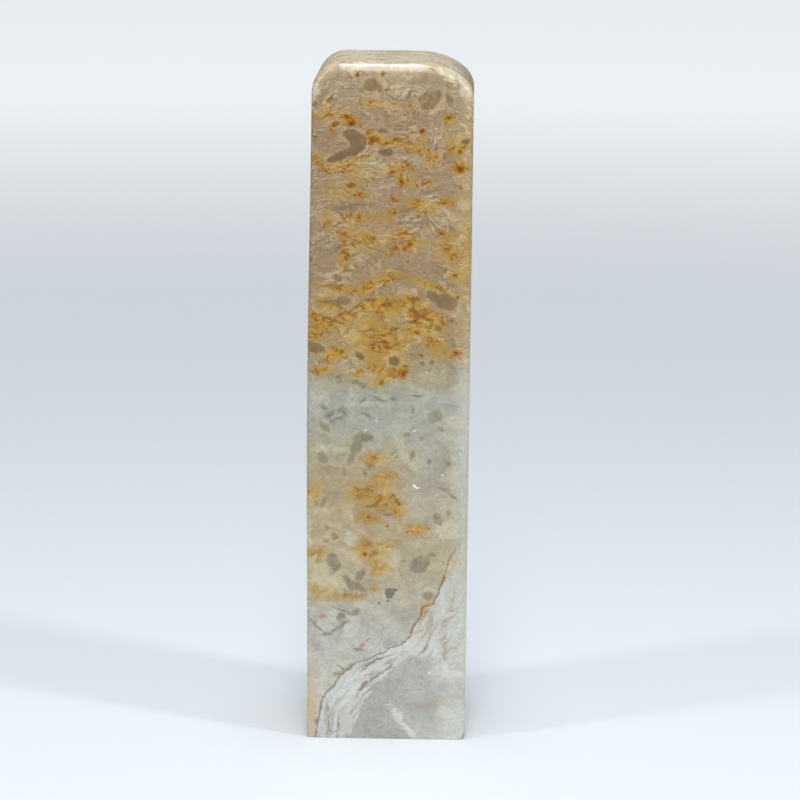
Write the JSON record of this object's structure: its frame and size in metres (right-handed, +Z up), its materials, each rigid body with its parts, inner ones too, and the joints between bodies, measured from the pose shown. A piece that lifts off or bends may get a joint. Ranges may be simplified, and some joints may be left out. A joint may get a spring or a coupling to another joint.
{
  "type": "seal stamp",
  "caption": "Plain square-section stone seal with a hand-rounded top, polished rims and a flat blank seal face to stand on.",
  "frame": {"origin": "centre of the flat seal face that the stone stands on", "axes": "+Z up along the column, +X to the right and -Y to the front as in the picture"},
  "size_m": [0.025, 0.025, 0.1055],
  "materials": {
    "polished_stone": "hand-polished, glossy, grey and ochre clouded"
  },
  "bodies": {
    "root": {"seal_stone": "polished_stone"}
  },
  "joints": []
}
